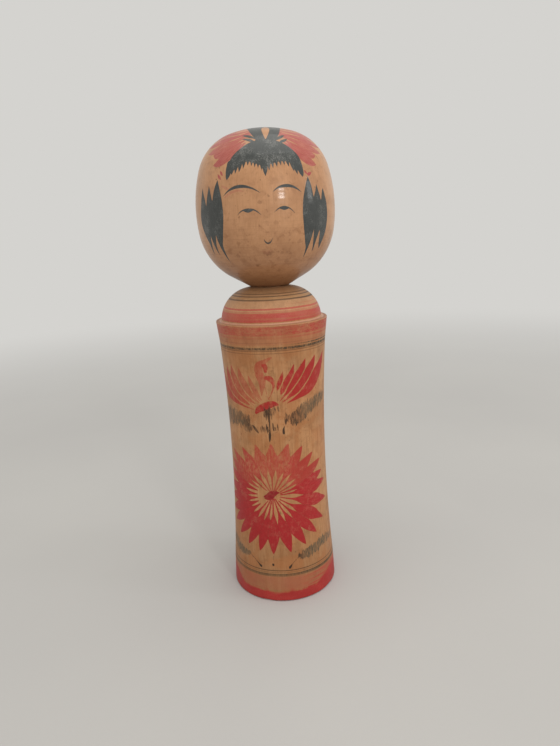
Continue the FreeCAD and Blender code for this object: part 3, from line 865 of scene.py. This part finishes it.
    # the red deepens where the dye pooled, and towards the bottom as painted shade
    tint = n.layers(RED, (n.held(rosy, fade * 0.6 + upper_left * 0.4 + 0.22), ROSE),
                    (n.held(pool + low * 0.45 - upper_left * 0.3, 0.8), DEEP_RED),
                    (n.smooth(z, 120, 130) * 0.22, (0.42, 0.035, 0.012)))
    color = n.mix(cover * 0.99, color, tint)

    # leaf dye and ink went on nearly dry and kept only the raised fibres
    hatch = n.stretched(1, 0.2, 1.25, 3, 0.7)
    cover = dyed(n, "leaf", speck, 1.4, 0)[0]
    centre = 1 - n.smooth(n.math("ABSOLUTE", x + 2), 9, 24)
    leaf = n.mix(n.held(centre + n.smooth(z, 60, 90) * 0.25, 0.85), LEAF, SEPIA)
    color = n.mix(cover * n.span(hatch, 0.36, 0.58, 0.34, 1), color, leaf)

    # thin lines: one above the foot, a double one under the rim, and those round the dome and the collar
    foot = n.band(wob, 17.9, 19.7, 0.3) * (right * 0.25 + 0.58) + n.band(wob, 19.1, 19.7, 0.15) * 0.25
    double = n.most(n.band(wob, 170.5, 172.1, 0.35), n.band(wob, 172.8, 173.6, 0.25) * right)
    chatter = n.smooth(n.stretched(1, 0.4, 1.35, 3, 0.7), 0.46, 0.6)
    double = double * (1 - chatter * 0.62) * (0.84 + right * 0.16)
    lines = n.most(foot * n.span(hatch, 0.4, 0.65, 1, 0.6), double,
                   n.band(wob, 199.2, 200, 0.22) * (right * 0.22 + 0.66),
                   n.band(wob, 201.3, 201.8, 0.2) * 0.74, n.band(wob, 202.7, 203.1, 0.2) * 0.68)
    faint = (n.band(wob, 169.6, 170.1, 0.18) * 0.6 + n.band(wob, 168, 168.4, 0.18) * 0.5
             + n.band(wob, 21.8, 22.3, 0.18) * 0.9 + n.band(wob, 20.6, 20.9, 0.15) * 0.4
             + n.band(wob, 174.6, 174.9, 0.15) * 0.3)
    color = n.layers(color, (n.band(wob, 200.4, 200.9, 0.2) * 0.4, OCHRE), (faint, SEPIA), (lines, LINE))
    cover = dyed(n, "ink", speck, 0.35, n.smooth(hatch, 0.48, 0.66) * 0.15)[0]
    thin_ink = 1 - n.smooth(n.attribute("ink_tone"), 0.6, 0.95)
    cover = cover * (1 - thin_ink * n.smooth(hatch, 0.4, 0.56) * 0.6) * (1 + thin_ink * 0.75)
    ink = n.mix(n.smooth(z, 60, 90) * 0.5 + thin_ink * 0.35, BLACK, SEPIA)
    color = n.mix(n.math("MINIMUM", cover, 0.95), color, ink)

    # bare wood where the rim's edge has rubbed through; the ledge, brown at its rim, and paled by the dome as a
    # painted highlight where its upper face catches the light
    rub = n.band(z, 184.9, 186.4, 0.25) * n.smooth(out, 34.8, 35.6) * n.smooth(n.noise(spot, 0.7, 3), 0.32, 0.5)
    ledge = n.band(z, 185.45, 186.4, 0.1)
    color = n.layers(color, (rub * 0.35, (0.5, 0.28, 0.15)), (ledge * 0.6, (0.36, 0.155, 0.085)),
                     (ledge * (1 - n.smooth(out, 33.7, 34.3)) * 0.8, (0.66, 0.4, 0.27)))
    return n.surface(color, rough + 0.06, relief(n, spot, height, 0.00014, 0.5),
                     IOR=1.31, Coat_Weight=0.1, Coat_Roughness=0.3)


# ---------------------------------------------------------------- pieces

def head_spacing(r, z):
    """Rows lie closest together where the brows, the eyes and the nose are painted."""
    tops = (z <= 220, z <= 232, z <= 237, z <= 247.5, z <= 253, z <= 258, z < 266.5, z <= 297)
    gap = np.select(tops, (1.1, 0.62, 0.32, 0.62, 0.3, 0.6, 0.33, 0.45), 0.85)
    return gap + np.where(z < 207, 0.6, 0)


def body_spacing(r, z):
    """Rows lie closest together at the rim's edge and the foot's."""
    gap = np.where(z < 24, 0.85, 0.52)
    gap = np.where(z > 168, 0.85, gap)
    gap = np.where((z > 184.6) & (r > 35), 0.22, gap)
    gap = np.where((z < 1.2) & (r > 34.5), 0.3, gap)
    gap = np.where((r < 31) & (z < 2), 3, gap)
    return np.where((r < 13) & (z > 100), 1.4, gap)


# knocks: where (girth, height), how large, how deep
head_knocks = [
    ((-8, 226), (2.4, 1.2), 0.1), ((22, 240), (1.6, 1), 0.08), ((-48, 262), (2.2, 1.8), 0.12),
    ((62, 256), (1.8, 3.2), 0.14), ((110, 248), (2.6, 1.6), 0.16), ((-92, 252), (3.2, 1.4), 0.12)]
body_knocks = [
    ((24, 186), (2.2, 0.8), 0.22), ((-30, 186), (3.4, 0.7), 0.16), ((70, 185.6), (2.6, 1.2), 0.3),
    ((-84, 185.8), (4, 0.9), 0.24), ((-12, 0.6), (3, 1), 0.2), ((33, 0.4), (2.4, 1.2), 0.26),
    ((88, 0.8), (4, 1.4), 0.3), ((-6, 13), (1.2, 0.8), 0.14), ((-58, 92), (1.4, 3.6), 0.14),
    ((52, 140), (1.2, 1.2), 0.14), ((97, 60), (2, 4), 0.14)]

head = build("head_turned", head_outline(), head_spacing,
             columns_of(lambda s: np.where(s < 27, 0.36, 0.56), 2, 48, HEAD_R), head_knocks, HEAD_R,
             lambda theta, height, along, radius: head_brushwork(theta, height, along), lambda rz: rz[:, 1] < 208)
body = build("body_turned", body_outline(), body_spacing,
             columns_of(lambda s: np.full_like(s, 0.56), 2.4, 46, BODY_R), body_knocks, BODY_R,
             lambda theta, height, along, radius: body_brushwork(theta, np.where(radius < 30, -5, height)),
             lambda rz: (rz[:, 0] < 13.5) & (rz[:, 1] > 100))

for piece, node, material in ((head, "head", head_material()), (body, "body", body_material())):
    piece.data.materials.append(material)
    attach(piece, node)
    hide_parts(node)


# ---------------------------------------------------------------- stage, light and camera

ROOM = (0.66, 0.65, 0.625, 1)


def floor_material():
    n = Nodes("floor_matt")
    x, y, _, spot = n.place()
    soft = n.noise(spot, 0.004, 3, 0.5)
    grainy = n.noise(spot, 0.6, 2, 0.5)
    color = n.mix(n.span(soft, 0.3, 0.7, 0, 1), (0.5, 0.49, 0.475), (0.53, 0.52, 0.5))
    material = n.surface(color, 0.65 + grainy * 0.1, n.bump(grainy, 0.0002, 0.2), IOR=1.3)
    # the floor runs out into the same pale light as the room
    end = next(node for node in n.tree.nodes if node.type == "OUTPUT_MATERIAL").inputs[0]
    matt, glow = Val(n, end.links[0].from_socket), n.out("ShaderNodeEmission", {"Color": ROOM})
    far = n.smooth(n.math("SQRT", x * x + y * y), 300, 1500)
    n.feed(end, n.out("ShaderNodeMixShader", {0: far, 1: matt, 2: glow}))
    return material


def make_floor():
    turns, rings = 96, (0.05, 0.15, 0.4, 1, 2.5, 6)
    verts = [(0, 0, 0)]
    faces = []
    for r in rings:
        verts += [(r * math.cos(a), r * math.sin(a), 0)
                  for a in np.linspace(0, 2 * math.pi, turns, endpoint=False)]
    for k in range(turns):
        faces.append((0, 1 + k, 1 + (k + 1) % turns))
        for ring in range(len(rings) - 1):
            a, b = 1 + ring * turns, 1 + (ring + 1) * turns
            faces.append((a + k, b + k, b + (k + 1) % turns, a + (k + 1) % turns))
    mesh = bpy.data.meshes.new("floor")
    mesh.from_pydata(verts, [], faces)
    floor = bpy.data.objects.new("floor", mesh)
    floor.location.z = -0.0002
    mesh.materials.append(floor_material())
    bpy.context.scene.collection.objects.link(floor)


def soft_light(name, at, target, size, watts, color):
    data = bpy.data.lights.new(name, "AREA")
    data.shape, data.size, data.size_y = "RECTANGLE", size[0], size[1]
    data.energy, data.color = watts, color
    light = bpy.data.objects.new(name, data)
    light.location = at
    light.rotation_mode = "QUATERNION"
    light.rotation_quaternion = (Vector(target) - Vector(at)).to_track_quat("-Z", "Y")
    bpy.context.scene.collection.objects.link(light)


make_floor()
soft_light("overhead", (0.15, -0.2, 1.5), (0, 0, 0.15), (1.2, 1.2), 9, (1, 0.985, 0.96))
soft_light("window", (0.94, -1.9, 0.71), (0, 0, 0.22), (0.3, 0.2), 8, (1, 0.985, 0.96))
soft_light("side_window", (1.55, -0.38, 0.62), (0, 0, 0.2), (0.26, 0.4), 2.2, (0.97, 0.98, 1))

world = bpy.data.worlds.new("room")
world.use_nodes = True
background = world.node_tree.nodes["Background"]
background.inputs["Color"].default_value = ROOM
background.inputs["Strength"].default_value = 1
bpy.context.scene.world = world
bpy.context.scene.view_settings.view_transform = "Standard"

DISTANCE, EYE = 0.3635, 0.2356
PITCH, YAW, ROLL = math.radians(13.55), math.radians(0.58), math.radians(3)
FOCAL_PX, LONG_SIDE_PX, SENSOR = 560, 746, 36
ahead = Vector((math.sin(YAW) * math.cos(PITCH), math.cos(YAW) * math.cos(PITCH), -math.sin(PITCH)))
across = Vector((math.cos(YAW), -math.sin(YAW), 0))
upward = across.cross(ahead)
cam_x = across * math.cos(ROLL) - upward * math.sin(ROLL)
cam_y = upward * math.cos(ROLL) + across * math.sin(ROLL)
camera = bpy.data.objects.new("camera", bpy.data.cameras.new("camera"))
camera.data.sensor_width = SENSOR
camera.data.lens = SENSOR * FOCAL_PX / LONG_SIDE_PX
camera.data.clip_start = 0.02
camera.matrix_world = Matrix((cam_x, cam_y, -ahead)).transposed().to_4x4()
camera.location = (0, -DISTANCE, EYE)
bpy.context.scene.collection.objects.link(camera)
bpy.context.scene.camera = camera
